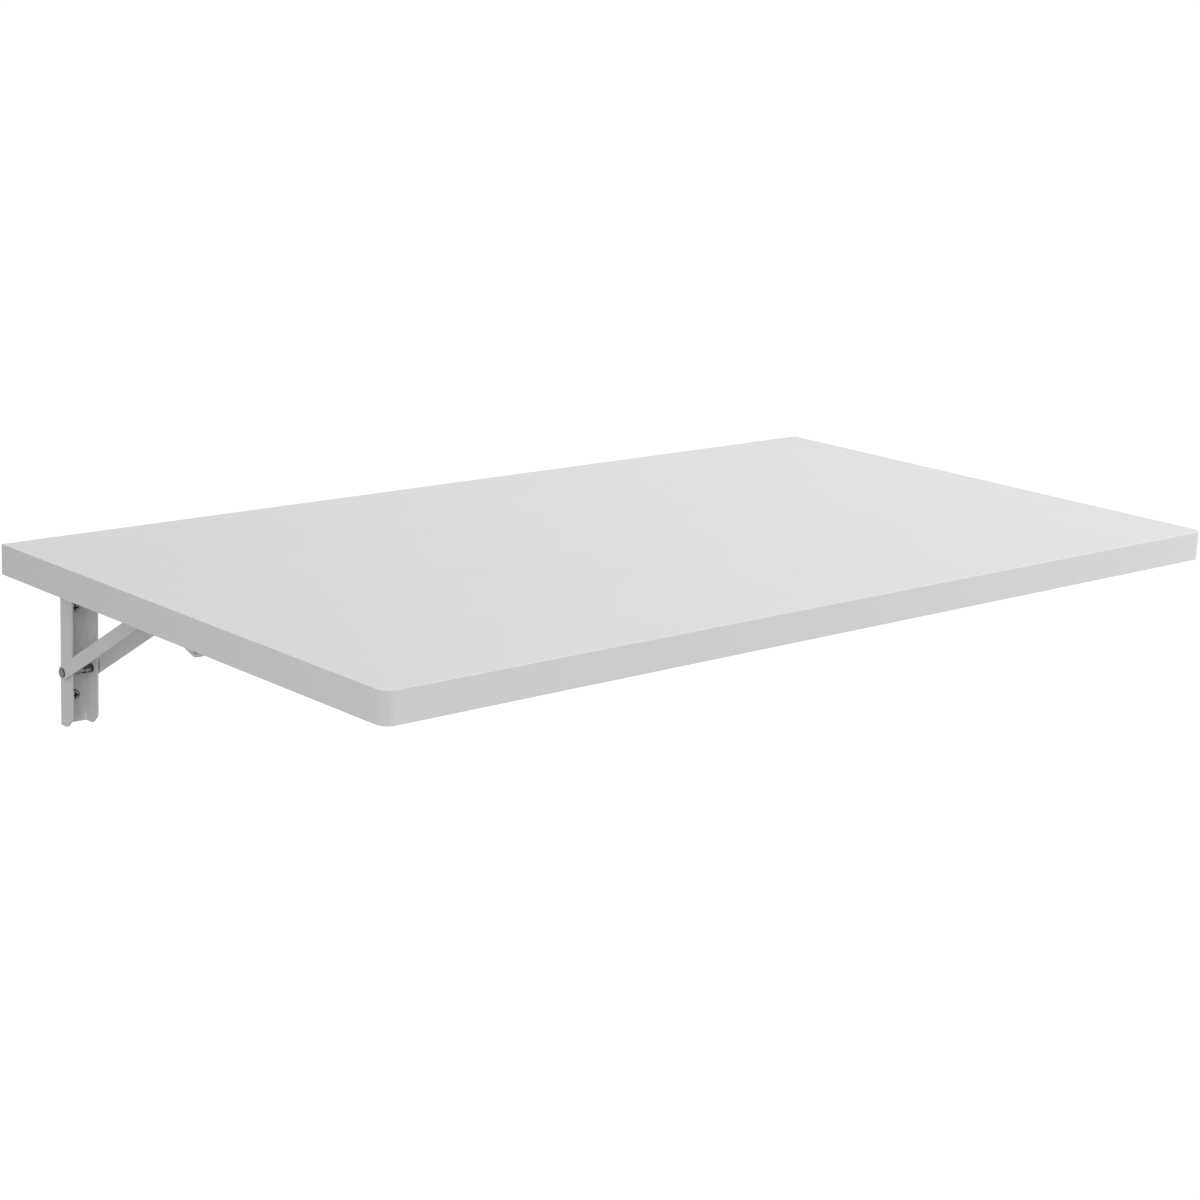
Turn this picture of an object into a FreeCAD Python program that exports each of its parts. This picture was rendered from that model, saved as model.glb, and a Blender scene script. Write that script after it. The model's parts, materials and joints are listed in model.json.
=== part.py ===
"""Wall mounted drop leaf table: a white leaf on two folding brackets that lock open and fold flat.

Millimetres. The wall is the plane y = 0 and the table stands out from it towards -Y, +Z is up and +X runs
along the wall. The origin is the middle of the four wall screws. The leaf is modelled open, as in use.
"""
import FreeCAD
import Part
import math
import os

V = FreeCAD.Vector
X_AXIS = V(1, 0, 0)

# Leaf
LEAF_WIDTH = 900.0
LEAF_DEPTH = 500.0
LEAF_THICKNESS = 25.0
LEAF_CORNER_R = 9.5
LEAF_ARRIS_R = 0.5
LEAF_WALL_GAP = 2.0
LAMINATE = 0.8
EDGE_BAND = 2.0

# Where the brackets and their screws are
BRACKET_INSET = 65.1
WALL_SCREW_PITCH = 74.0
UPPER_SCREW_DEPTH = 36.0

# Sheet metal of the channels, and room between pieces that turn or slide on each other
SHEET = 1.5
BEND_R = 2.5
SIDE_ROOM = 0.5
MOVING_ROOM = 0.3
PIN_ROOM = 0.05

# Wall channel, measured down from the underside of the leaf
CHANNEL_WIDTH = 25.0
CHANNEL_FLANGE = 18.9
CHANNEL_TOP_DEPTH = 5.0
CHANNEL_BOTTOM_DEPTH = 133.7
CHANNEL_TOE = 7.5
CHANNEL_TOE_R = 5.0

# Arm under the leaf
ARM_LENGTH = 285.0
ARM_FLANGE = 24.4
ARM_EAR_R = 6.0
ARM_NOSE_R = 14.0
SLOT_DEPTH = 12.0
LOCK_NOTCH_RISE = 2.5
ARM_SCREW_FROM_HINGE = 22.0
ARM_SCREW_FROM_FRONT = 20.5
ARM_SCREW_COUNT = 4

# Pivots: how far from the wall, and how far below the underside of the leaf
HINGE_OUT = 14.3
HINGE_DEPTH = 21.3
BRACE_PIVOT_OUT = 10.4
BRACE_PIVOT_DEPTH = 87.0

# Brace
BRACE_LENGTH = 143.5
BRACE_BAR = 2.0
BRACE_BAR_WIDTH = 11.6
WASHER = 1.3
WASHER_R = 5.5

# Pins
PIN_R = 3.0
PIN_HEAD_R = 3.9
PIN_HEAD = 1.1
PIN_HEAD_ROUND = 0.5
COLLAR_R = 3.6
COLLAR_LENGTH = 7.5
SLIDE_PIN_R = 3.5
SLIDE_BUSH_R = 4.6

# Release lever: its pivot is so far along the arm from the hinge, and its tail runs out from the pivot
LEVER_WIDTH = 12.0
LEVER_SHEET = 1.2
LEVER_BEND_R = 1.6
LEVER_PIVOT_ALONG = 138.0
LEVER_PIVOT_DEPTH = 20.0
LEVER_PIN_R = 2.0
LEVER_PIN_HEAD_R = 2.7
LEVER_PIN_HEAD = 0.9
LEVER_WAIST_R = 3.8
LEVER_NOSE_R = 2.2
LEVER_TAIL = 33.7
LEVER_TAIL_DROP = 11.0
LEVER_TROUGH_START = 8.0
LEVER_TIP_R = 12.0
LEVER_LIP = 2.8

# Lever spring
SPRING_WIRE = 0.7
SPRING_TURNS = 4
SPRING_PITCH = 1.2
SPRING_LEG = 14.0
SPRING_HOOK_R = 1.2
SPRING_ROOM = 0.15

# Screws
WALL_SCREW_R = 2.25
WALL_SCREW_NECK_R = 1.7
WALL_SCREW_HEAD_R = 4.3
WALL_SCREW_HEAD = 2.4
WALL_SCREW_BEHIND = 9.0
ARM_SCREW_R = 2.0
ARM_SCREW_HEAD_R = 3.8
ARM_SCREW_HEAD = 2.2
ARM_SCREW_LENGTH = 17.0
SCREW_HEAD_ROUND = 0.9
RECESS_WIDTH = 1.5
RECESS_SHARE = 0.64
RECESS_DEPTH = 1.5

# Worked out from the sizes above
UNDERSIDE_Z = UPPER_SCREW_DEPTH + WALL_SCREW_PITCH / 2
TOP_Z = UNDERSIDE_Z + LEAF_THICKNESS
BRACKET_XS = {"left": BRACKET_INSET - LEAF_WIDTH / 2, "right": LEAF_WIDTH / 2 - BRACKET_INSET}
HINGE_Y = -HINGE_OUT
HINGE_Z = UNDERSIDE_Z - HINGE_DEPTH
BRACE_Y = -BRACE_PIVOT_OUT
BRACE_Z = UNDERSIDE_Z - BRACE_PIVOT_DEPTH
ARM_WIDTH = CHANNEL_WIDTH - 2 * SHEET - 2 * SIDE_ROOM
BAR_IN = CHANNEL_WIDTH / 2 + WASHER + MOVING_ROOM
BAR_OUT = BAR_IN + BRACE_BAR

# The brace leans on the arm at one angle when open and another when folded against the wall
OPEN_LEAN = math.asin((BRACE_PIVOT_DEPTH - SLOT_DEPTH) / BRACE_LENGTH)
FOLDED_LEAN = math.asin((HINGE_DEPTH - SLOT_DEPTH + HINGE_OUT - BRACE_PIVOT_OUT) / BRACE_LENGTH)
SLIDE_OPEN = BRACE_LENGTH * math.cos(OPEN_LEAN) - (HINGE_OUT - BRACE_PIVOT_OUT)
SLIDE_FOLDED = BRACE_PIVOT_DEPTH - HINGE_DEPTH + BRACE_LENGTH * math.cos(FOLDED_LEAN)

# The lever's tail falls towards the front; half its height is taken plumb
LEVER_FALL = math.atan2(LEVER_TAIL_DROP, LEVER_TAIL)
LEVER_HALF_HEIGHT = LEVER_WAIST_R / math.cos(LEVER_FALL)


def along(distance, depth, x=0.0):
    """A point of the open arm: distance out from the hinge, depth below the underside of the leaf."""
    return V(x, HINGE_Y - distance, UNDERSIDE_Z - depth)


def rod(x0, x1, radius, y, z):
    """A round bar along X."""
    return Part.makeCylinder(radius, x1 - x0, V(x0, y, z), X_AXIS)


def ring(x0, x1, radius, bore, y, z):
    return rod(x0, x1, radius, y, z).cut(rod(x0, x1, bore, y, z))


def plate(corners, x0, x1):
    """A flat plate across X from a list of corners, whose x is ignored."""
    points = [V(x0, p.y, p.z) for p in corners]
    outline = Part.makePolygon(points + points[:1])
    return Part.Face(outline).extrude(V(x1 - x0, 0, 0))


def round_corners(shape, corners, radius):
    """Round the edges along X that pass through the given corners."""
    edges = []
    for edge in shape.Edges:
        ends = [vertex.Point for vertex in edge.Vertexes]
        lies_along_x = len(ends) == 2 and abs(ends[0].y - ends[1].y) + abs(ends[0].z - ends[1].z) < 1e-6
        for corner in corners:
            if lies_along_x and math.hypot(ends[0].y - corner.y, ends[0].z - corner.z) < 1e-6:
                edges.append(edge)
    return shape.makeFillet(radius, edges)


def round_bar(start, start_r, end, end_r, x0, x1):
    """A flat bar across X with round ends about start and end, tapered where the two radii differ."""
    run = end.sub(start)
    lean = (start_r - end_r) / run.Length
    ahead = V(run).normalize().multiply(lean)
    side = V(0, -run.z, run.y).normalize().multiply(math.sqrt(1 - lean * lean))
    one = ahead.add(side)
    other = ahead.sub(side)
    corners = [start.add(one * start_r), end.add(one * end_r)]
    corners += [end.add(other * end_r), start.add(other * start_r)]
    ends = [rod(x0, x1, start_r, start.y, start.z), rod(x0, x1, end_r, end.y, end.z)]
    return plate(corners, x0, x1).fuse(ends).removeSplitter()


def channel_face(width, depth, place, sheet=SHEET, bend_r=BEND_R):
    """The section of a bent sheet channel; place turns (across, depth) into a point."""
    half = width / 2
    inner = bend_r - sheet
    middle = math.sqrt(0.5)
    left = bend_r - half
    right = half - bend_r
    edges = []

    def line(a, b):
        edges.append(Part.LineSegment(place(*a), place(*b)).toShape())

    def bend(a, centre, radius, lean, b):
        top = (centre[0] + lean * radius * middle, centre[1] - radius * middle)
        edges.append(Part.Arc(place(*a), place(*top), place(*b)).toShape())

    line((-half, depth), (-half, bend_r))
    bend((-half, bend_r), (left, bend_r), bend_r, -1, (left, 0))
    line((left, 0), (right, 0))
    bend((right, 0), (right, bend_r), bend_r, 1, (half, bend_r))
    line((half, bend_r), (half, depth))
    line((half, depth), (half - sheet, depth))
    line((half - sheet, depth), (half - sheet, bend_r))
    bend((half - sheet, bend_r), (right, bend_r), inner, 1, (right, sheet))
    line((right, sheet), (left, sheet))
    bend((left, sheet), (left, bend_r), inner, -1, (sheet - half, bend_r))
    line((sheet - half, bend_r), (sheet - half, depth))
    line((sheet - half, depth), (-half, depth))
    return Part.Face(Part.Wire(edges))


def riveted_pin(reach, radius, head_r, head, y, z):
    """A pin whose two heads start at reach on each side of the bracket's middle."""
    pin = rod(-reach, reach, radius, y, z)
    for side in (-1, 1):
        button = Part.makeCylinder(head_r, head, V(side * reach, y, z), V(side, 0, 0))
        rim = [edge for edge in button.Edges if abs(edge.BoundBox.XMin - side * (reach + head)) < 1e-6
               and abs(edge.BoundBox.XMax - side * (reach + head)) < 1e-6]
        pin = pin.fuse(button.makeFillet(PIN_HEAD_ROUND, rim))
    return pin.removeSplitter()


def screw(base, direction, shank, head_r, head):
    """A pan-head screw with a cross recess: base is on the seat, direction points out of the head.

    The shank is a list of radius and length, from the head down.
    """
    top = V(base).add(V(direction).multiply(head))
    button = Part.makeCylinder(head_r, head, base, direction)
    rim = [edge for edge in button.Edges if edge.Curve.TypeId == "Part::GeomCircle"
           and edge.Curve.Center.distanceToPoint(top) < 1e-6]
    button = button.makeFillet(SCREW_HEAD_ROUND, rim)
    reach = head_r * RECESS_SHARE
    seat = FreeCAD.Placement(top, FreeCAD.Rotation(V(0, 0, 1), direction))
    for long, short in ((reach, RECESS_WIDTH / 2), (RECESS_WIDTH / 2, reach)):
        blade = Part.makeBox(2 * long, 2 * short, 2 * RECESS_DEPTH, V(-long, -short, -RECESS_DEPTH))
        blade.Placement = seat
        button = button.cut(blade)
    inward = V(direction).negative()
    depth = 0.0
    for radius, length in shank:
        start = V(base).add(V(inward).multiply(depth))
        button = button.fuse(Part.makeCylinder(radius, length, start, inward))
        depth += length
    return button.removeSplitter()


def leaf_slab(inset, z0, z1):
    """The leaf's plan between two heights: square at the back, round front corners, drawn in by inset."""
    half = LEAF_WIDTH / 2 - inset
    back = -LEAF_WALL_GAP - inset
    front = inset - LEAF_WALL_GAP - LEAF_DEPTH
    slab = Part.makeBox(2 * half, back - front, z1 - z0, V(-half, front, z0))
    corners = [edge for edge in slab.Edges if edge.BoundBox.ZLength > z1 - z0 - 1e-6
               and edge.BoundBox.YMax < front + 1e-6]
    return slab.makeFillet(LEAF_CORNER_R - inset, corners)


def soften(shape, z):
    """Take the sharp arris off the outer edges at height z."""
    rim = [edge for edge in shape.Edges if abs(edge.BoundBox.ZMin - z) < 1e-6
           and abs(edge.BoundBox.ZMax - z) < 1e-6]
    return shape.makeFillet(LEAF_ARRIS_R, rim)


def arm_screw_places():
    """Points on the lower face of each arm's web."""
    last = ARM_LENGTH - ARM_EAR_R - ARM_SCREW_FROM_FRONT
    step = (last - ARM_SCREW_FROM_HINGE) / (ARM_SCREW_COUNT - 1)
    distances = [ARM_SCREW_FROM_HINGE + index * step for index in range(ARM_SCREW_COUNT)]
    return [along(distance, SHEET, x) for x in BRACKET_XS.values() for distance in distances]


def leaf_pieces():
    """Core board, two laminates and the bands on its edges; screw holes come up from below."""
    whole = soften(soften(leaf_slab(0.0, UNDERSIDE_Z, TOP_Z), TOP_Z), UNDERSIDE_Z)
    core_box = leaf_slab(EDGE_BAND, UNDERSIDE_Z + LAMINATE, TOP_Z - LAMINATE)
    top = whole.common(leaf_slab(EDGE_BAND, TOP_Z - LAMINATE, TOP_Z))
    under = whole.common(leaf_slab(EDGE_BAND, UNDERSIDE_Z, UNDERSIDE_Z + LAMINATE))
    rim = whole.cut(leaf_slab(EDGE_BAND, UNDERSIDE_Z, TOP_Z))
    back_space = Part.makeBox(LEAF_WIDTH, EDGE_BAND, LEAF_THICKNESS,
                              V(-LEAF_WIDTH / 2, -LEAF_WALL_GAP - EDGE_BAND, UNDERSIDE_Z))
    holes = [Part.makeCylinder(ARM_SCREW_R + PIN_ROOM, ARM_SCREW_LENGTH, point, V(0, 0, 1))
             for point in arm_screw_places()]
    return {"leaf_core": core_box.cut(holes), "leaf_top_laminate": top,
            "leaf_under_laminate": under.cut(holes), "leaf_edge_band": rim.cut(back_space),
            "leaf_back_band": rim.common(back_space)}


def wall_channel():
    """U channel with its web on the wall; the front corners at its toe are rounded off."""
    top = UNDERSIDE_Z - CHANNEL_TOP_DEPTH
    bottom = UNDERSIDE_Z - CHANNEL_BOTTOM_DEPTH
    section = channel_face(CHANNEL_WIDTH, CHANNEL_FLANGE, lambda across, depth: V(across, -depth, bottom))
    channel = section.extrude(V(0, 0, top - bottom))
    front = -CHANNEL_FLANGE
    toe = [V(0, 0, bottom), V(0, front + CHANNEL_TOE, bottom), V(0, front, bottom + CHANNEL_TOE)]
    outline = plate([V(0, 0, top)] + toe + [V(0, front, top)], -CHANNEL_WIDTH, CHANNEL_WIDTH)
    outline = round_corners(outline, toe[1:] + [V(0, front, top)], CHANNEL_TOE_R)
    holes = [rod(-CHANNEL_WIDTH, CHANNEL_WIDTH, PIN_R, HINGE_Y, HINGE_Z),
             rod(-CHANNEL_WIDTH, CHANNEL_WIDTH, PIN_R, BRACE_Y, BRACE_Z)]
    for side in (-1, 1):
        base = V(0, 0, side * WALL_SCREW_PITCH / 2)
        holes.append(Part.makeCylinder(WALL_SCREW_R + PIN_ROOM, SHEET, base, V(0, -1, 0)))
    return channel.common(outline).cut(holes)


def arm():
    """U channel under the leaf: a round ear at the hinge, a slot with a lock notch for the slide pin, and a
    bay in its edges that takes the brace pin when folded.
    """
    ear_bottom = HINGE_DEPTH + ARM_EAR_R
    rear = -ARM_EAR_R
    section = channel_face(ARM_WIDTH, ear_bottom, lambda across, depth: along(rear, depth, across))
    channel = section.extrude(V(0, -ARM_LENGTH, 0))
    front = rear + ARM_LENGTH
    reach = ARM_WIDTH
    web = plate([along(rear, 0), along(front, 0), along(front, ARM_FLANGE), along(rear, ARM_FLANGE)],
                -reach, reach)
    web = round_corners(web, [along(front, ARM_FLANGE)], ARM_NOSE_R)
    heel = plate([along(rear, HINGE_DEPTH), along(rear, ear_bottom),
                  along(0, ear_bottom), along(0, HINGE_DEPTH)], -reach, reach)
    ear = rod(-reach, reach, ARM_EAR_R, HINGE_Y, HINGE_Z)
    outline = web.cut(heel).fuse(ear)
    start = along(SLIDE_OPEN, SLOT_DEPTH)
    slot_r = SLIDE_PIN_R + PIN_ROOM
    cuts = [round_bar(start, slot_r, along(SLIDE_FOLDED, SLOT_DEPTH), slot_r, -reach, reach),
            round_bar(start, slot_r, along(SLIDE_OPEN, SLOT_DEPTH - LOCK_NOTCH_RISE), slot_r, -reach, reach),
            rod(-reach, reach, PIN_R + PIN_ROOM, HINGE_Y, HINGE_Z)]
    pivot = along(LEVER_PIVOT_ALONG, LEVER_PIVOT_DEPTH)
    cuts.append(rod(-reach, reach, LEVER_PIN_R, pivot.y, pivot.z))
    stowed = along(BRACE_PIVOT_DEPTH - HINGE_DEPTH, HINGE_OUT + HINGE_DEPTH - BRACE_PIVOT_OUT)
    cuts.append(rod(-reach, reach, COLLAR_R + SIDE_ROOM, stowed.y, stowed.z))
    for point in arm_screw_places()[:ARM_SCREW_COUNT]:
        cuts.append(Part.makeCylinder(ARM_SCREW_R + PIN_ROOM, SHEET, V(0, point.y, point.z), V(0, 0, 1)))
    return channel.common(outline).cut(cuts)


def brace_bar(x0, x1):
    """A flat bar with round ends, from the pin on the wall channel up to the slide pin."""
    low = V(0, BRACE_Y, BRACE_Z)
    high = along(SLIDE_OPEN, SLOT_DEPTH)
    bar = round_bar(low, BRACE_BAR_WIDTH / 2, high, BRACE_BAR_WIDTH / 2, x0, x1)
    return bar.cut([rod(x0, x1, PIN_R + PIN_ROOM, low.y, low.z), rod(x0, x1, PIN_R, high.y, high.z)])


def brace_top_rivets():
    """The riveted ends of the slide pin in the brace's bars."""
    centre = along(SLIDE_OPEN, SLOT_DEPTH)
    pin = riveted_pin(BAR_OUT, PIN_R, PIN_HEAD_R, PIN_HEAD, centre.y, centre.z)
    return pin.cut(rod(-BAR_IN, BAR_IN, PIN_HEAD_R, centre.y, centre.z))


def slide_pin():
    centre = along(SLIDE_OPEN, SLOT_DEPTH)
    end = BAR_IN - MOVING_ROOM
    return rod(-end, end, SLIDE_PIN_R, centre.y, centre.z)


def slide_bushes():
    """Spacers on the slide pin that keep the bars off the arm."""
    centre = along(SLIDE_OPEN, SLOT_DEPTH)
    near = ARM_WIDTH / 2 + MOVING_ROOM
    far = BAR_IN - MOVING_ROOM
    return Part.makeCompound([ring(x0, x1, SLIDE_BUSH_R, SLIDE_PIN_R, centre.y, centre.z)
                              for x0, x1 in ((-far, -near), (near, far))])


def lever_tail(run, rise):
    """A point of the lever's tail: run out from the pivot, rise above the middle of its height."""
    drop = run * math.tan(LEVER_FALL)
    return along(LEVER_PIVOT_ALONG + run, LEVER_PIVOT_DEPTH + drop - rise)


def lever_wall(x0, x1):
    """Side wall of the lever: a nose under the slide pin, a waist at its pivot and the start of its tail."""
    nose = along(SLIDE_OPEN, SLOT_DEPTH + SLIDE_PIN_R + MOVING_ROOM + LEVER_NOSE_R)
    pivot = lever_tail(0, 0)
    upward = V(0, -math.sin(LEVER_FALL), math.cos(LEVER_FALL)).multiply(LEVER_WAIST_R)
    corners = [pivot.add(upward), lever_tail(LEVER_TROUGH_START, LEVER_HALF_HEIGHT)]
    corners += [lever_tail(LEVER_TROUGH_START, -LEVER_HALF_HEIGHT), pivot.sub(upward)]
    front = round_bar(nose, LEVER_NOSE_R, pivot, LEVER_WAIST_R, x0, x1)
    return plate(corners, x0, x1).fuse(front)


def lever_end(end, inset=0.0):
    """The space of the lever's tail behind a tip that is round in plan, drawn in by inset."""
    size = 4 * LEVER_WIDTH
    middle = V(0, end.y + LEVER_TIP_R, end.z - LEVER_WIDTH)
    tip = Part.makeCylinder(LEVER_TIP_R - inset, size, middle)
    return tip.fuse(Part.makeBox(size, size, size, middle.sub(V(size / 2, 0, 0))))


def lever_lip():
    """The lip across the end of the lever's trough."""
    reach = (LEVER_WIDTH - LEVER_SHEET) / 2
    low = lever_tail(LEVER_TAIL - LEVER_TIP_R, -LEVER_HALF_HEIGHT)
    end = lever_tail(LEVER_TAIL, -LEVER_HALF_HEIGHT)
    sill = [V(x, low.y, low.z + rise) for x, rise in
            ((-reach, LEVER_SHEET / 2), (reach, LEVER_SHEET / 2), (reach, LEVER_LIP), (-reach, LEVER_LIP))]
    block = Part.Face(Part.makePolygon(sill + sill[:1])).extrude(end.sub(low))
    return block.common(lever_end(end)).cut(lever_end(end, LEVER_SHEET))


def release_lever():
    """Bent from thin sheet: two side walls, and a trough at the tail with a lip for the thumb."""
    half = LEVER_WIDTH / 2
    low = lever_tail(LEVER_TROUGH_START, -LEVER_HALF_HEIGHT)
    end = lever_tail(LEVER_TAIL, -LEVER_HALF_HEIGHT)
    section = channel_face(LEVER_WIDTH, 2 * LEVER_HALF_HEIGHT,
                           lambda across, height: V(across, low.y, low.z + height), LEVER_SHEET, LEVER_BEND_R)
    trough = section.extrude(end.sub(low)).common(lever_end(end))
    walls = [lever_wall(-half, LEVER_SHEET - half), lever_wall(half - LEVER_SHEET, half)]
    pivot = lever_tail(0, 0)
    hole = rod(-half, half, LEVER_PIN_R + PIN_ROOM, pivot.y, pivot.z)
    return trough.fuse(walls + [lever_lip()]).removeSplitter().cut(hole)


def lever_pin():
    pivot = along(LEVER_PIVOT_ALONG, LEVER_PIVOT_DEPTH)
    reach = ARM_WIDTH / 2
    return riveted_pin(reach, LEVER_PIN_R, LEVER_PIN_HEAD_R, LEVER_PIN_HEAD, pivot.y, pivot.z)


def arc_from(start, heading, end):
    """The arc that leaves start along heading and ends at end."""
    chord = end.sub(start)
    side = chord.sub(V(heading).multiply(chord.dot(heading)))
    half_turn = math.atan2(side.Length, chord.dot(heading))
    bulge = V(heading).multiply(math.sin(half_turn)).sub(V(side).normalize().multiply(math.cos(half_turn)))
    sagitta = chord.Length / 2 * math.tan(half_turn / 2)
    middle = start.add(end).multiply(0.5).add(bulge.multiply(sagitta))
    return Part.Arc(start, middle, end).toShape()


def biarc(start, heading, end, end_heading):
    """Two arcs that join two points with given headings."""
    chord = end.sub(start)
    both = heading.add(end_heading)
    slack = 2 * (1 - heading.dot(end_heading))
    run = chord.dot(both)
    reach = (math.sqrt(run * run + slack * chord.dot(chord)) - run) / slack
    near = start.add(V(heading).multiply(reach))
    far = end.sub(V(end_heading).multiply(reach))
    joint = near.add(far).multiply(0.5)
    joint_heading = far.sub(near).normalize()
    return [arc_from(start, heading, joint), arc_from(joint, joint_heading, end)]


def lever_spring():
    """Torsion spring in the lever: one leg presses its trough down, the other hooks under the arm's edge."""
    pivot = along(LEVER_PIVOT_ALONG, LEVER_PIVOT_DEPTH)
    radius = LEVER_PIN_R + SPRING_ROOM + SPRING_WIRE / 2
    quarters = 4 * SPRING_TURNS + 3
    width = quarters / 4 * SPRING_PITCH
    climb = SPRING_PITCH / (2 * math.pi)
    leg_rise = radius - (LEVER_WAIST_R - LEVER_SHEET - MOVING_ROOM - SPRING_WIRE / 2)
    first_turn = LEVER_FALL - math.asin(leg_rise / SPRING_LEG)

    def point(quarter):
        turn = first_turn + quarter * math.pi / 2
        x = width * (quarter / quarters - 0.5)
        return pivot.add(V(x, radius * math.sin(turn), -radius * math.cos(turn)))

    def heading(quarter):
        turn = first_turn + quarter * math.pi / 2
        return V(climb, radius * math.cos(turn), radius * math.sin(turn)).normalize()

    tail = point(0).sub(heading(0) * SPRING_LEG)
    edges = [Part.LineSegment(tail, point(0)).toShape()]
    for quarter in range(quarters):
        edges += biarc(point(quarter), heading(quarter), point(quarter + 1), heading(quarter + 1))
    leaving, down = point(quarters), heading(quarters)
    wall_edge = LEVER_PIVOT_DEPTH + radius * math.tan(LEVER_FALL) + LEVER_HALF_HEIGHT
    lowest = max(ARM_FLANGE, wall_edge) + MOVING_ROOM + SPRING_WIRE / 2
    corner = leaving.add(down * ((leaving.z - UNDERSIDE_Z + lowest) / -down.z))
    setback = SPRING_HOOK_R * math.tan(math.acos(down.x) / 2)
    bend_start = corner.sub(down * setback)
    bend_end = corner.add(X_AXIS * setback)
    hook = V(ARM_WIDTH / 2, corner.y, corner.z)
    edges += [Part.LineSegment(leaving, bend_start).toShape(), arc_from(bend_start, down, bend_end),
              Part.LineSegment(bend_end, hook).toShape()]
    print("spring: gap between turns", round(SPRING_PITCH - SPRING_WIRE, 2), "mm")
    section = Part.Wire(Part.makeCircle(SPRING_WIRE / 2, tail, heading(0)))
    return Part.Wire(edges).makePipeShell([section], True, False)


def brace_pin():
    return riveted_pin(BAR_OUT + MOVING_ROOM, PIN_R, PIN_HEAD_R, PIN_HEAD, BRACE_Y, BRACE_Z)


def brace_washers():
    near = CHANNEL_WIDTH / 2
    return Part.makeCompound([ring(x0, x0 + WASHER, WASHER_R, PIN_R, BRACE_Y, BRACE_Z)
                              for x0 in (-near - WASHER, near)])


def pin_collar():
    inside = CHANNEL_WIDTH / 2 - SHEET
    return ring(inside - COLLAR_LENGTH, inside, COLLAR_R, PIN_R, BRACE_Y, BRACE_Z)


def hinge_pin():
    return riveted_pin(CHANNEL_WIDTH / 2, PIN_R, PIN_HEAD_R, PIN_HEAD, HINGE_Y, HINGE_Z)


def wall_screws():
    """Two in each wall channel; the thread starts behind the channel's sheet."""
    shank = [(WALL_SCREW_NECK_R, SHEET), (WALL_SCREW_R, WALL_SCREW_BEHIND)]
    screws = []
    for x in BRACKET_XS.values():
        for side in (-1, 1):
            base = V(x, -SHEET, side * WALL_SCREW_PITCH / 2)
            screws.append(screw(base, V(0, -1, 0), shank, WALL_SCREW_HEAD_R, WALL_SCREW_HEAD))
    return Part.makeCompound(screws)


def arm_screws():
    shank = [(ARM_SCREW_R, ARM_SCREW_LENGTH)]
    return Part.makeCompound([screw(point, V(0, 0, -1), shank, ARM_SCREW_HEAD_R, ARM_SCREW_HEAD)
                              for point in arm_screw_places()])


def bracket_pieces():
    """One folding bracket, about its own middle plane."""
    return {"wall_channel": wall_channel(), "arm": arm(), "hinge_pin": hinge_pin(),
            "brace_outer_bar": brace_bar(-BAR_OUT, -BAR_IN), "brace_inner_bar": brace_bar(BAR_IN, BAR_OUT),
            "brace_pin": brace_pin(), "brace_washers": brace_washers(), "pin_collar": pin_collar(),
            "brace_top_rivets": brace_top_rivets(), "slide_pin": slide_pin(), "slide_bushes": slide_bushes(),
            "release_lever": release_lever(), "lever_pin": lever_pin(), "lever_spring": lever_spring()}


def main():
    os.makedirs("parts", exist_ok=True)
    nodes = leaf_pieces()
    nodes["wall_screws"] = wall_screws()
    nodes["arm_screws"] = arm_screws()
    for name, shape in bracket_pieces().items():
        for side, x in BRACKET_XS.items():
            nodes[side + "_" + name] = shape.translated(V(x, 0, 0))
    for name, shape in nodes.items():
        shape.exportStep("parts/" + name + ".step")
        print(name, len(shape.Solids), "solids,", "valid," if shape.isValid() else "NOT VALID,",
              round(shape.Volume / 1000, 3), "cm3")


main()
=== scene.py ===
# %% [markdown]
# # A wall mounted drop leaf table
# The table is a flat white leaf that two folding steel brackets hold out from a wall. Every solid piece
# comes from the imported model, at its real size and in metres, so this lesson makes no new shapes for them.
# It is about the looks: a camera that stands where the photograph was taken, soft light, and one procedural
# finish for each material of the real table.

# %% Load the model
import json
import math

import bmesh
import bpy
from mathutils import Matrix, Vector


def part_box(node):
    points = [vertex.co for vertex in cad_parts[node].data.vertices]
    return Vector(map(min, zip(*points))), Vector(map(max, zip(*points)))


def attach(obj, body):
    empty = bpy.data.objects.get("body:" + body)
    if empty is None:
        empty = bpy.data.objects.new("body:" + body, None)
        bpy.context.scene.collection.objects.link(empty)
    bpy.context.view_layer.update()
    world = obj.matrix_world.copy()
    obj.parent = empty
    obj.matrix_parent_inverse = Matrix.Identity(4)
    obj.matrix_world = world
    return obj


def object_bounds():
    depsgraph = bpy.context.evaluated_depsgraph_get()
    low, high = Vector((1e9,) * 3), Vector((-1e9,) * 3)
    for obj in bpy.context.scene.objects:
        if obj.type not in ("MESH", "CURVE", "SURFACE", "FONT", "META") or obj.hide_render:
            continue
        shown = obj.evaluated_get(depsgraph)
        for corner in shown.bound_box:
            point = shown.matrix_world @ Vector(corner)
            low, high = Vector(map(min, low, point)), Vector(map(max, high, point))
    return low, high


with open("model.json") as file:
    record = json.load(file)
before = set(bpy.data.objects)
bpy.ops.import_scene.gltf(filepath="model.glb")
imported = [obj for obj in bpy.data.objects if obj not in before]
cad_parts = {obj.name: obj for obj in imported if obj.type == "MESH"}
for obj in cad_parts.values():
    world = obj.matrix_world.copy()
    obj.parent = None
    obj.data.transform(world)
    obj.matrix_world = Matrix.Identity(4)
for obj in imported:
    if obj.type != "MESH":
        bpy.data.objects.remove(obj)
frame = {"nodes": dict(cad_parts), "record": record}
CAD_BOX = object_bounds()
MM = 0.001

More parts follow.
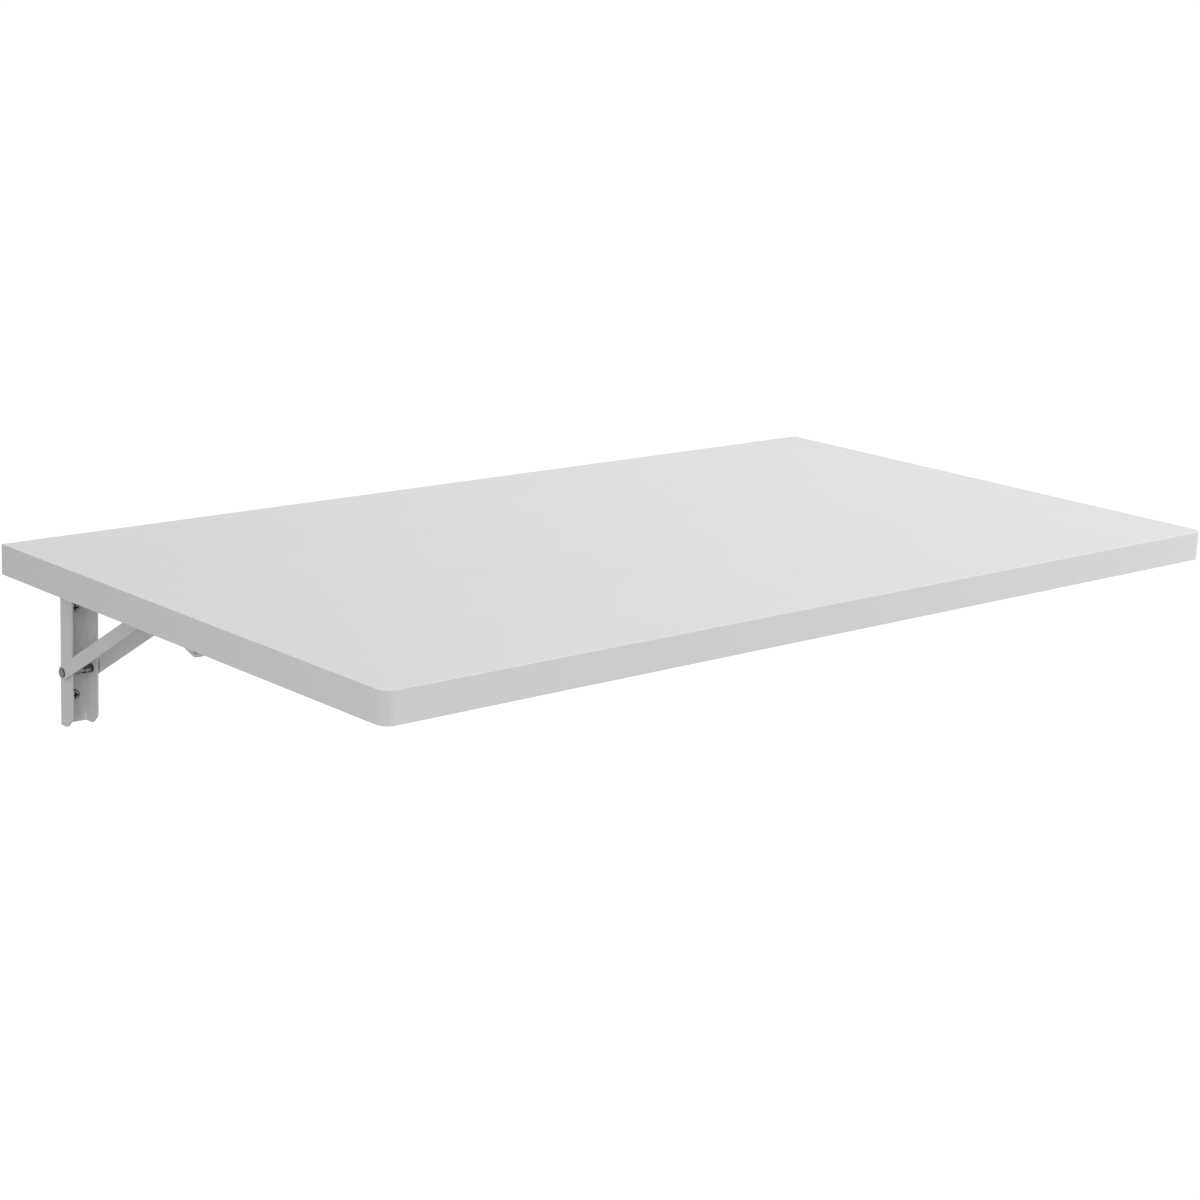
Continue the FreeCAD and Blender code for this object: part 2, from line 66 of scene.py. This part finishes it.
# %% [markdown]
# ## The camera
# The leaf is a flat rectangle of known size, so its edges in the photograph fix where the camera stood. The
# camera could also be placed by eye and nudged, but a fit keeps every line of the leaf within a pixel. Its
# place is written as a point in metres and three turns in degrees: yaw to the right of straight at the wall,
# pitch down, and a slight roll.

# %% Place the camera
EYE = Vector((-1.4922, -1.8541, 0.5996))
YAW, PITCH, ROLL = 42.304, 14.273, 2.405
IMAGE_SIDE = 1200
FOCAL_PIXELS = 2688.9
SENSOR_WIDTH = 36.0


def make_camera():
    data = bpy.data.cameras.new("camera")
    data.sensor_width = SENSOR_WIDTH
    data.lens = SENSOR_WIDTH * FOCAL_PIXELS / IMAGE_SIDE
    camera = bpy.data.objects.new("camera", data)
    bpy.context.scene.collection.objects.link(camera)
    facing = Matrix.Rotation(math.radians(-YAW), 4, "Z")
    tilt = Matrix.Rotation(math.radians(90 - PITCH), 4, "X")
    lean = Matrix.Rotation(math.radians(ROLL), 4, "Z")
    camera.matrix_world = Matrix.Translation(EYE) @ facing @ tilt @ lean
    bpy.context.scene.camera = camera
    return camera


camera = make_camera()
print("lens", round(camera.data.lens, 1), "mm")

# %% [markdown]
# ## Sums on sockets
# Lights and finishes are sums of patterns, and sums are easier to read as Python than as a drawing of nodes.
# The first class wraps one output socket. Adding, subtracting or multiplying two of them makes the Math node
# that does it, so `1 - mask` reads as it would on paper. Any other node is made by `Nodes.node`, which takes
# the node's type, its settings and what goes into its sockets.

# %% A class for sockets and one for node trees


class Tone:
    """One output socket of a node tree; sums written with it add Math nodes."""

    def __init__(self, nodes, socket):
        self.nodes = nodes
        self.socket = socket

    def math(self, operation, first, second=0.0):
        return self.nodes.node("ShaderNodeMath", {"operation": operation}, {0: first, 1: second})

    def __add__(self, other):
        return self.math("ADD", self, other)

    def __radd__(self, other):
        return self.math("ADD", other, self)

    def __sub__(self, other):
        return self.math("SUBTRACT", self, other)

    def __rsub__(self, other):
        return self.math("SUBTRACT", other, self)

    def __mul__(self, other):
        return self.math("MULTIPLY", self, other)

    def __rmul__(self, other):
        return self.math("MULTIPLY", other, self)

    def __pow__(self, other):
        return self.math("POWER", self, other)

    def __abs__(self):
        return self.math("ABSOLUTE", self)

    def larger(self, other):
        return self.math("MAXIMUM", self, other)

    def smaller(self, other):
        return self.math("MINIMUM", self, other)


class Nodes:
    """The emptied node tree of a world or a material."""

    def __init__(self, owner):
        owner.use_nodes = True
        self.tree = owner.node_tree
        self.tree.nodes.clear()

    def node(self, kind, settings=None, sockets=None, output=0):
        """Make a node, set it up, fill its sockets with values or links, and hand back one output."""
        made = self.tree.nodes.new(kind)
        for setting, value in (settings or {}).items():
            setattr(made, setting, value)
        for socket, value in (sockets or {}).items():
            if isinstance(value, Tone):
                self.tree.links.new(value.socket, made.inputs[socket])
            else:
                made.inputs[socket].default_value = value
        return Tone(self, made.outputs[output]) if made.outputs else None


print("sums on sockets are ready")

# %% [markdown]
# ## Floor, backdrop and light
# The photograph shows the table on plain white, lit so softly that it has no hard shadow. A ring of lamps
# could do that, but an even sky is softer and simpler, with a few large lamps for the difference between the
# faces. The floor and the sky show white to the camera and give the table less light than that, as white
# paper round a set does when it is lit apart from the object. Steel mirrors the floor as white too, which
# gives the pins their bright streaks. Seen from below, the floor is clear, so that the brackets show.

# %% Light the set
WHITE = (1, 1, 1, 1)
SKY_LIGHT = 0.45
FLOOR_LIGHT = 0.20
PAPER_WHITE = 1.1
TABLE_HEIGHT = 0.75
FLOOR_Z = CAD_BOX[1].z - TABLE_HEIGHT
FLOOR_SIDE = 12.0
MIDDLE = (CAD_BOX[0] + CAD_BOX[1]) / 2
# A lamp's name, its place from the middle of the table and its side in metres, and its power in watts.
LAMPS = (("overhead", (0.9, 0.3, 2.4), 2.2, 33.0),
         ("front_right", (1.9, -2.0, 0.6), 1.4, 31.0),
         ("low_left", (-2.2, -1.0, -0.3), 0.6, 7.1),
         ("front_left", (-1.9, -1.6, 0.95), 0.7, 6.6),
         ("low_behind", (0.4, 1.6, -0.5), 1.2, 10.0))


def seen_white(nodes, kind, strength, mirrored=False):
    """White where the camera looks, and in mirrors if asked; a light of the given strength for the rest."""
    looked_at = nodes.node("ShaderNodeLightPath", output="Is Camera Ray")
    if mirrored:
        looked_at = looked_at.larger(nodes.node("ShaderNodeLightPath", output="Is Glossy Ray"))
    light = nodes.node(kind, None, {"Strength": strength, "Color": WHITE})
    white = nodes.node(kind, None, {"Strength": PAPER_WHITE, "Color": WHITE})
    return nodes.node("ShaderNodeMixShader", None, {"Fac": looked_at, 1: light, 2: white})


def make_sky():
    world = bpy.data.worlds.new("sky")
    nodes = Nodes(world)
    white = seen_white(nodes, "ShaderNodeBackground", SKY_LIGHT)
    nodes.node("ShaderNodeOutputWorld", None, {"Surface": white})
    bpy.context.scene.world = world


def make_floor():
    mesh = bpy.data.meshes.new("floor")
    half = FLOOR_SIDE / 2
    corners = [(-half, -half), (half, -half), (half, half), (-half, half)]
    mesh.from_pydata([(MIDDLE.x + x, MIDDLE.y + y, FLOOR_Z) for x, y in corners], [], [(0, 1, 2, 3)])
    floor = bpy.data.objects.new("floor", mesh)
    bpy.context.scene.collection.objects.link(floor)
    paper = bpy.data.materials.new("white_paper")
    nodes = Nodes(paper)
    from_below = nodes.node("ShaderNodeNewGeometry", output="Backfacing")
    white = seen_white(nodes, "ShaderNodeEmission", FLOOR_LIGHT, mirrored=True)
    clear = nodes.node("ShaderNodeBsdfTransparent")
    surface = nodes.node("ShaderNodeMixShader", None, {"Fac": from_below, 1: white, 2: clear})
    nodes.node("ShaderNodeOutputMaterial", None, {"Surface": surface})
    mesh.materials.append(paper)


def make_lamp(name, place, side, watts):
    data = bpy.data.lights.new(name, "AREA")
    data.shape = "SQUARE"
    data.size = side
    data.energy = watts
    lamp = bpy.data.objects.new(name, data)
    bpy.context.scene.collection.objects.link(lamp)
    lamp.location = MIDDLE + Vector(place)
    lamp.rotation_euler = (-Vector(place)).to_track_quat("-Z", "Y").to_euler()
    lamp.visible_camera = False


make_sky()
make_floor()
for lamp in LAMPS:
    make_lamp(*lamp)
bpy.context.scene.view_settings.view_transform = "Standard"
print("floor at", round(FLOOR_Z, 3), "m,", len(LAMPS), "lamps")

# %% [markdown]
# ## What every finish shares
# A finish is a material with one Principled shader. A constant goes straight onto the shader's socket, and
# only what changes over the surface is linked. The helpers below give the patterns that the finishes are
# mixed from, in metres of the real piece, so that grain has its true size on a small pin and on the wide
# leaf alike. A Mix node has sockets of the same names for every kind of data, so its colours are picked by
# number.

# %% A class for finishes
MIX_AMOUNT, MIX_FIRST, MIX_SECOND, MIX_RESULT = 0, 6, 7, 2
EVEN = (1, 1, 1)
EDGE_SAMPLES = 4


class Finish(Nodes):
    """A material with one Principled shader."""

    def __init__(self, name, constants):
        self.material = bpy.data.materials.new(name)
        super().__init__(self.material)
        shader = self.node("ShaderNodeBsdfPrincipled", None, constants)
        self.shader = shader.socket.node
        self.node("ShaderNodeOutputMaterial", None, {"Surface": shader})

    def drive(self, socket, tone):
        self.tree.links.new(tone.socket, self.shader.inputs[socket])

    def place(self, stretch=EVEN):
        """The piece's own coordinates in metres, stretched along each axis."""
        coordinates = self.node("ShaderNodeTexCoord", output="Object")
        return self.node("ShaderNodeVectorMath", {"operation": "MULTIPLY"}, {0: coordinates, 1: stretch})

    def noise(self, size, detail, stretch=EVEN):
        """Cloudy noise from 0 to 1 whose lumps are about size metres."""
        sockets = {"Vector": self.place(stretch), "Scale": 1 / size, "Detail": detail}
        return self.node("ShaderNodeTexNoise", None, sockets)

    def blend(self, amount, first, second):
        sockets = {MIX_AMOUNT: amount, MIX_FIRST: first, MIX_SECOND: second}
        return self.node("ShaderNodeMix", {"data_type": "RGBA"}, sockets, MIX_RESULT)

    def ease(self, tone, low, high):
        """0 below low, 1 above high, smooth between."""
        settings = {"interpolation_type": "SMOOTHSTEP"}
        return self.node("ShaderNodeMapRange", settings, {"Value": tone, "From Min": low, "From Max": high})

    def relief(self, height, depth, edge_radius=0.0):
        """Feed the shader's normal from a height of 0 to 1, depth metres deep, over softened edges."""
        sockets = {"Height": height, "Distance": depth, "Strength": 1.0}
        if edge_radius:
            soft_edge = self.node("ShaderNodeBevel", {"samples": EDGE_SAMPLES}, {"Radius": edge_radius})
            sockets["Normal"] = soft_edge
        self.drive("Normal", self.node("ShaderNodeBump", None, sockets))


def grey(level, warmth=0.0):
    """A linear colour that is nearly grey; warmth adds red and takes away blue."""
    return (level * (1 + warmth), level, level * (1 - warmth), 1.0)


node_finishes = {}
slot_finishes = {}
print("ready to mix finishes")

# %% [markdown]
# ## White melamine on the leaf's two faces
# Melamine board is paper and resin pressed on wood fibre against a steel plate, which gives it a fine pearly
# grain and a satin gloss. The grain is bumps under a millimetre wide and about a hundredth deep, so it is
# made as relief, with a faint cloudiness in the gloss. Where the sheet meets the edge band there is a
# hairline, which is worked out from the sheet's own outline and not painted by hand.

# %% Melamine
CORNER_R = 9.5 * MM
HAIRLINE = 0.25 * MM
HAIRLINE_GREY = grey(0.62)
SHEET_WHITES = (grey(0.795), grey(0.805))
SHEET_CLOUD = 60 * MM
PEARL_SIZE = 0.7 * MM
PEARL_DEPTH = 0.012 * MM


def sheet_edge(finish, node):
    """Metres outside the sheet's outline, negative on it: square corners behind and round ones in front."""
    low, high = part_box(node)
    radius = CORNER_R - (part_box("leaf_edge_band")[1].x - high.x)
    x = finish.node("ShaderNodeSeparateXYZ", None, {0: finish.place()}, "X")
    y = finish.node("ShaderNodeSeparateXYZ", None, {0: finish.place()}, "Y")
    across = abs(x) - (high.x - radius)
    ahead = (low.y + radius) - y
    corner = (across.larger(0.0) ** 2.0 + ahead.larger(0.0) ** 2.0) ** 0.5
    inside = across.larger(ahead).smaller(0.0)
    return (corner + inside - radius).larger(y - high.y)


def melamine(node):
    finish = Finish("melamine_" + node, {"Specular IOR Level": 0.5})
    hairline = finish.ease(sheet_edge(finish, node), -HAIRLINE, 0.0)
    cloud = finish.noise(SHEET_CLOUD, detail=3.0)
    pearl = finish.noise(PEARL_SIZE, detail=1.0)
    tint = finish.blend(cloud, *SHEET_WHITES)
    finish.drive("Base Color", finish.blend(hairline, tint, HAIRLINE_GREY))
    finish.drive("Roughness", 0.40 + 0.06 * cloud + 0.10 * pearl)
    finish.relief(pearl * (1 - hairline), PEARL_DEPTH)
    return finish.material


for node in ("leaf_top_laminate", "leaf_under_laminate"):
    node_finishes[node] = melamine(node)
print("melamine on", sorted(node_finishes))

# %% [markdown]
# ## The edge band
# The band is a plastic strip that a machine glues round the board and trims with a round cutter. It is a
# little duller than the faces, and it keeps very faint lines along its length from the extruder. Noise that
# is squeezed in height makes such lines run round the whole leaf with no need to unwrap it.

# %% Edge band
BAND_WHITES = (grey(0.815), grey(0.835))
BAND_CLOUD = 40 * MM
LINE_LENGTH = 14 * MM
LINE_SQUEEZE = (1, 1, 30)
LINE_DEPTH = 0.01 * MM


def edge_band():
    finish = Finish("edge_band", {"Specular IOR Level": 0.35})
    lines = finish.noise(LINE_LENGTH, detail=3.0, stretch=LINE_SQUEEZE)
    cloud = finish.noise(BAND_CLOUD, detail=2.0)
    finish.drive("Base Color", finish.blend(cloud, *BAND_WHITES))
    finish.drive("Roughness", 0.50 + 0.08 * lines + 0.05 * cloud)
    finish.relief(lines, LINE_DEPTH)
    return finish.material


slot_finishes["white_edge"] = edge_band()
print("edge band mixed")

# %% [markdown]
# ## White powder coat on the bracket's sheet metal
# Powder is sprayed on dry and melts into a thick skin, which flows a little round every cut edge and dries
# with a slight orange peel. So the finish softens the edges that the model keeps sharp, and carries low
# bumps about a millimetre wide with finer ones on top.

# %% Powder coat
COAT_WHITES = (grey(0.785), grey(0.815))
COAT_CLOUD = 25 * MM
COAT_EDGE_R = 0.35 * MM
PEEL_SIZE = 1.4 * MM
PEEL_DEPTH = 0.03 * MM
GRAIN_SIZE = 0.35 * MM


def powder_coat():
    finish = Finish("powder_coat", {"Specular IOR Level": 0.4})
    peel = finish.noise(PEEL_SIZE, detail=2.0)
    grain = finish.noise(GRAIN_SIZE, detail=1.0)
    cloud = finish.noise(COAT_CLOUD, detail=2.0)
    finish.drive("Base Color", finish.blend(cloud, *COAT_WHITES))
    finish.drive("Roughness", 0.54 + 0.08 * peel + 0.06 * grain)
    finish.relief(0.8 * peel + 0.2 * grain, PEEL_DEPTH, COAT_EDGE_R)
    return finish.material


slot_finishes["white_powder_coat"] = powder_coat()
print("powder coat mixed")

# %% [markdown]
# ## Zinc on the pins, rivets and screws
# Pins and screws are zinc plated: grey, faintly cloudy, and marked by the tool that turned or headed them.
# The turned pins are a little darker, with fine rings round their length, which noise squeezed along the pin
# gives. Little light gets into a screw's cross recess, under its rim or where a pin meets the sheet beside
# it, and that shade is painted into the colour. Painting these by their outlines would need the outlines
# twice, so an Ambient Occlusion node finds them: it tells how much of the sky a point sees past what is near
# it. Below SHUT_IN of it the plate is painted black as painted shade, and with all of it the plate has its
# full grey.

# %% Zinc plate
PIN_SHADE = 0.16
SCREW_SHADE = 0.21
PLATE_SPREAD = 0.25
PLATE_WARMTH = -0.01
PLATE_CLOUD = 2.5 * MM
PLATE_EDGE_R = 0.12 * MM
RING_SIZE = 0.8 * MM
RING_SQUEEZE = (12, 1, 1)
RING_DEPTH = 0.01 * MM
RECESS_REACH = 2.6 * MM
# Painted shade: the near black that the plate is painted where little sky reaches it.
RECESS_PAINTED_SHADE = grey(0.004)
RECESS_SAMPLES = 8
SHUT_IN = 0.55


def zinc_steel(name, shade, stretch=EVEN):
    finish = Finish(name, {"Metallic": 1.0})
    rings = finish.noise(RING_SIZE, detail=2.0, stretch=stretch)
    cloud = finish.noise(PLATE_CLOUD, detail=3.0)
    dark = grey((1 - PLATE_SPREAD) * shade, PLATE_WARMTH)
    light = grey((1 + PLATE_SPREAD) * shade, PLATE_WARMTH)
    plate = finish.blend(cloud, dark, light)
    settings = {"samples": RECESS_SAMPLES}
    sky = finish.node("ShaderNodeAmbientOcclusion", settings, {"Distance": RECESS_REACH}, "AO")
    # Painted shade: the colour turns black in recesses, under rims and next to other parts, where the AO
    # node sees little sky.
    finish.drive("Base Color", finish.blend(finish.ease(sky, SHUT_IN, 1.0), RECESS_PAINTED_SHADE, plate))
    finish.drive("Roughness", 0.14 + 0.14 * cloud + 0.08 * rings)
    finish.relief(rings, RING_DEPTH, PLATE_EDGE_R)
    return finish.material


slot_finishes["zinc_steel"] = zinc_steel("zinc_pins", PIN_SHADE, RING_SQUEEZE)
screw_steel = zinc_steel("zinc_screws", SCREW_SHADE)
for node in ("wall_screws", "arm_screws"):
    node_finishes[node] = screw_steel
print("zinc mixed for the pins and the screws")

# %% [markdown]
# ## Spring wire, nylon bushes and the board inside
# The spring is hard drawn wire, dark and oily. The bushes are moulded from natural nylon, off-white and
# waxy. The board is pressed wood fibre and shows only where a screw goes in, so a warm brown with a fine
# fleck is enough.

# %% Wire, nylon and board
WIRE_GREYS = (grey(0.16), grey(0.30, 0.02))
OIL_SIZE = 1.5 * MM
NYLON_WHITES = (grey(0.72, 0.02), grey(0.78, 0.03))
NYLON_SCATTER = 0.5 * MM
FLOW_SIZE = 2.0 * MM
BOARD_BROWNS = ((0.40, 0.27, 0.15, 1), (0.62, 0.47, 0.30, 1))
FLECK_SIZE = 1.2 * MM
FLECK_SQUEEZE = (1, 1, 2.5)
FLECK_DEPTH = 0.05 * MM


def spring_steel():
    finish = Finish("spring_wire", {"Metallic": 1.0})
    oil = finish.noise(OIL_SIZE, detail=3.0)
    finish.drive("Base Color", finish.blend(oil, *WIRE_GREYS))
    finish.drive("Roughness", 0.24 + 0.22 * oil)
    return finish.material


def nylon():
    scatter = {"Subsurface Weight": 0.1, "Subsurface Scale": NYLON_SCATTER}
    finish = Finish("nylon", {"Specular IOR Level": 0.5, **scatter})
    flow = finish.noise(FLOW_SIZE, detail=2.0)
    finish.drive("Base Color", finish.blend(flow, *NYLON_WHITES))
    finish.drive("Roughness", 0.42 + 0.1 * flow)
    return finish.material


def board():
    finish = Finish("pressed_board", {"Specular IOR Level": 0.3})
    fleck = finish.noise(FLECK_SIZE, detail=4.0, stretch=FLECK_SQUEEZE)
    finish.drive("Base Color", finish.blend(fleck, *BOARD_BROWNS))
    finish.drive("Roughness", 0.75 + 0.2 * fleck)
    finish.relief(fleck, FLECK_DEPTH)
    return finish.material


slot_finishes["spring_steel"] = spring_steel()
slot_finishes["nylon"] = nylon()
slot_finishes["board"] = board()
print("finishes by slot:", sorted(slot_finishes))

# %% [markdown]
# ## Giving each piece its finish
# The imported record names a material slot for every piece. The two melamine sheets and the screws have
# finishes of their own, and the rest are looked up by slot, so a new bracket would be dressed without a new
# line.

# %% Dress the pieces


def dress():
    for subpart in frame["record"]["subparts"]:
        name, slot = subpart["node"], subpart["material_slot"]
        coats = frame["nodes"][name].data.materials
        coats.clear()
        coats.append(node_finishes.get(name) or slot_finishes[slot])
    return len(frame["record"]["subparts"])


print("dressed", dress(), "pieces")

# %% [markdown]
# ## Threads on the wall screws
# Behind the wall plane the four screws show their shanks, and a screw without a thread is only a peg. A
# thread is a ridge that winds round the shank. It could be a bump in the finish, but a real ridge has an
# outline too, so it is a strip of faces along a helix, sunk a little into the shank and faded out over a
# quarter turn at both ends.

# %% Wind the threads
THREAD_PITCH = 1.7 * MM
THREAD_RISE = 0.40 * MM
THREAD_FOOT = 0.55 * MM
THREAD_SINK = 0.10 * MM
STEPS_PER_TURN = 32
FADE_STEPS = STEPS_PER_TURN / 4
MOUNT = next(mount for mount in frame["record"]["mounts"] if mount["name"] == "wall_fixings")
SCREW_X = MOUNT["dims"]["spacing_x_mm"] * MM / 2
SCREW_Z = MOUNT["dims"]["spacing_y_mm"] * MM / 2
STUD_R = MOUNT["dims"]["stud_r_mm"] * MM


def wind_thread(shape, x, z, start, end):
    """One helical ridge round a shank along +Y at the given x and z."""
    steps = round((end - start) / THREAD_PITCH * STEPS_PER_TURN)
    root = STUD_R - THREAD_SINK
    rows = []
    for step in range(steps + 1):
        turn = 2 * math.pi * step / STEPS_PER_TURN
        along = start + (end - start) * step / steps
        fade = min(1.0, step / FADE_STEPS, (steps - step) / FADE_STEPS)
        crest = root + (THREAD_SINK + THREAD_RISE) * fade
        section = ((root, along - THREAD_FOOT), (crest, along), (root, along + THREAD_FOOT))
        rows.append([shape.verts.new((x + radius * math.cos(turn), y, z + radius * math.sin(turn)))
                     for radius, y in section])
    for row, following in zip(rows, rows[1:]):
        for corner in range(3):
            other = (corner + 1) % 3
            shape.faces.new((row[corner], row[other], following[other], following[corner]))
    shape.faces.new(rows[0][::-1])
    shape.faces.new(rows[-1])


def wall_screw_threads():
    shape = bmesh.new()
    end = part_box("wall_screws")[1].y - THREAD_FOOT
    for x in (-SCREW_X, SCREW_X):
        for z in (-SCREW_Z, SCREW_Z):
            wind_thread(shape, x, z, THREAD_FOOT, end)
    bmesh.ops.recalc_face_normals(shape, faces=shape.faces)
    mesh = bpy.data.meshes.new("wall_screw_threads")
    shape.to_mesh(mesh)
    shape.free()
    mesh.materials.append(screw_steel)
    threads = bpy.data.objects.new("wall_screw_threads", mesh)
    bpy.context.scene.collection.objects.link(threads)
    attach(threads, "wall_frame")
    return len(mesh.polygons)


print("threads:", wall_screw_threads(), "faces")
